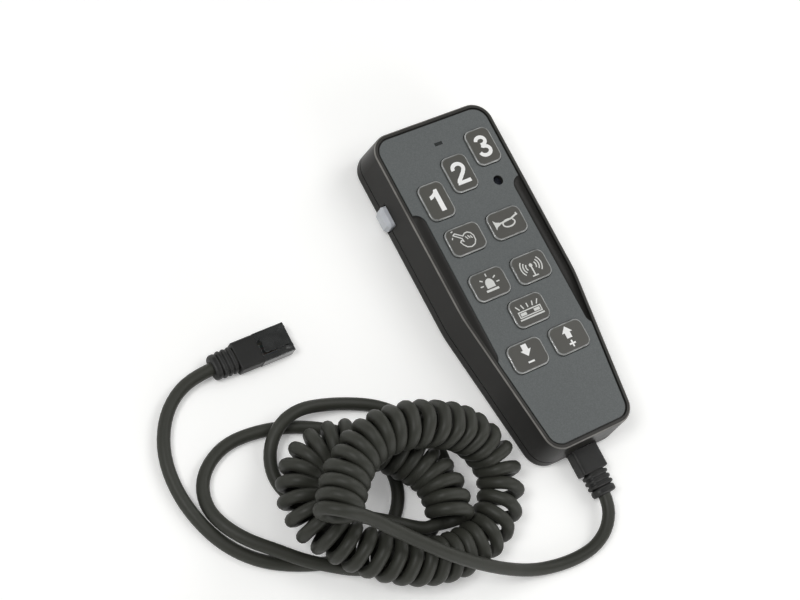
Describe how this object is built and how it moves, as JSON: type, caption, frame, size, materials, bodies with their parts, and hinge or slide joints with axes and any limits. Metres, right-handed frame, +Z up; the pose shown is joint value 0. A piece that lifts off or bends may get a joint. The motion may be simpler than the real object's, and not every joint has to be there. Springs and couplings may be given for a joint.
{
  "type": "keypad hand microphone",
  "caption": "Hand-held keypad microphone: a tapered grip with lit push keys and a talk button on its side, on a long coiled cord that ends in a latching modular plug",
  "frame": {"origin": "centre of the handset's footprint, on the surface that it lies on, without its cord", "axes": "+Z up out of the key face, +Y towards the head of the handset, cord leaves towards -Y, talk button on -X"},
  "size_m": [0.1794, 0.1787, 0.0447],
  "materials": {
    "shell": "fine grained black plastic",
    "face": "bluish grey film with a fine texture",
    "key_cap": "translucent grey plastic, moulded",
    "key_label": "printed plate, brownish dark grey",
    "talk": "bluish white translucent plastic",
    "board": "green solder mask",
    "dark_plastic": "moulded black plastic",
    "led": "clear resin over a pale lamp",
    "lens": "smoked window",
    "steel": "plain steel",
    "gold": "gold plated",
    "rubber": "soft black rubber",
    "cord": "matt black jacket",
    "cord_boot": "moulded matt black",
    "plug_clear": "smoky clear plastic"
  },
  "bodies": {
    "handset": {"front_housing": "shell", "rear_cover": "shell", "face_panel": "face", "circuit_board": "board", "key_switches": "dark_plastic", "backlight_leds": "led", "board_chips": "dark_plastic", "talk_switch": "dark_plastic", "mic_capsule": "steel", "mic_boot": "rubber", "mic_mesh": "steel", "status_led": "led", "status_lens": "lens", "cord_jack": "dark_plastic", "jack_contacts": "gold", "case_screws": "steel", "board_screws": "steel", "handset_plug": "plug_clear", "handset_plug_contacts": "gold", "handset_plug_boot": "cord_boot", "cord_tail_handset": "cord", "cord_coil": "cord", "cord_tail_plug": "cord", "far_plug": "plug_clear", "far_plug_contacts": "gold", "far_plug_boot": "cord_boot"},
    "talk_button": {"talk_button": "talk"},
    "far_plug_latch": {"far_plug_latch": "plug_clear"},
    "key_one": {"key_cap_one": "key_cap", "key_label_one": "key_label"},
    "key_two": {"key_cap_two": "key_cap", "key_label_two": "key_label"},
    "key_three": {"key_cap_three": "key_cap", "key_label_three": "key_label"},
    "key_manual": {"key_cap_manual": "key_cap", "key_label_manual": "key_label"},
    "key_horn": {"key_cap_horn": "key_cap", "key_label_horn": "key_label"},
    "key_siren": {"key_cap_siren": "key_cap", "key_label_siren": "key_label"},
    "key_radio": {"key_cap_radio": "key_cap", "key_label_radio": "key_label"},
    "key_lightbar": {"key_cap_lightbar": "key_cap", "key_label_lightbar": "key_label"},
    "key_volume_down": {"key_cap_volume_down": "key_cap", "key_label_volume_down": "key_label"},
    "key_volume_up": {"key_cap_volume_up": "key_cap", "key_label_volume_up": "key_label"}
  },
  "joints": [
    {"name": "key_one_press", "type": "slide", "parent": "handset", "child": "key_one", "axis": [0, 0, -1], "range_m": [0, 0.0008], "stiffness_N_per_m": 200, "springref_m": -0.0005},
    {"name": "key_two_press", "type": "slide", "parent": "handset", "child": "key_two", "axis": [0, 0, -1], "range_m": [0, 0.0008], "stiffness_N_per_m": 200, "springref_m": -0.0005},
    {"name": "key_three_press", "type": "slide", "parent": "handset", "child": "key_three", "axis": [0, 0, -1], "range_m": [0, 0.0008], "stiffness_N_per_m": 200, "springref_m": -0.0005},
    {"name": "key_manual_press", "type": "slide", "parent": "handset", "child": "key_manual", "axis": [0, 0, -1], "range_m": [0, 0.0008], "stiffness_N_per_m": 200, "springref_m": -0.0005},
    {"name": "key_horn_press", "type": "slide", "parent": "handset", "child": "key_horn", "axis": [0, 0, -1], "range_m": [0, 0.0008], "stiffness_N_per_m": 200, "springref_m": -0.0005},
    {"name": "key_siren_press", "type": "slide", "parent": "handset", "child": "key_siren", "axis": [0, 0, -1], "range_m": [0, 0.0008], "stiffness_N_per_m": 200, "springref_m": -0.0005},
    {"name": "key_radio_press", "type": "slide", "parent": "handset", "child": "key_radio", "axis": [0, 0, -1], "range_m": [0, 0.0008], "stiffness_N_per_m": 200, "springref_m": -0.0005},
    {"name": "key_lightbar_press", "type": "slide", "parent": "handset", "child": "key_lightbar", "axis": [0, 0, -1], "range_m": [0, 0.0008], "stiffness_N_per_m": 200, "springref_m": -0.0005},
    {"name": "key_volume_down_press", "type": "slide", "parent": "handset", "child": "key_volume_down", "axis": [0, 0, -1], "range_m": [0, 0.0008], "stiffness_N_per_m": 200, "springref_m": -0.0005},
    {"name": "key_volume_up_press", "type": "slide", "parent": "handset", "child": "key_volume_up", "axis": [0, 0, -1], "range_m": [0, 0.0008], "stiffness_N_per_m": 200, "springref_m": -0.0005},
    {"name": "talk_press", "type": "slide", "parent": "handset", "child": "talk_button", "axis": [1, 0, 0], "range_m": [0, 0.0012], "stiffness_N_per_m": 250, "springref_m": -0.0006},
    {"name": "latch_press", "type": "hinge", "parent": "handset", "child": "far_plug_latch", "pos_m": [-0.0869, 0.0136, 0.00695], "axis": [0, -1, 0], "range_deg": [0, 6], "stiffness_Nm_per_rad": 0.02, "springref_deg": -1.15}
  ]
}
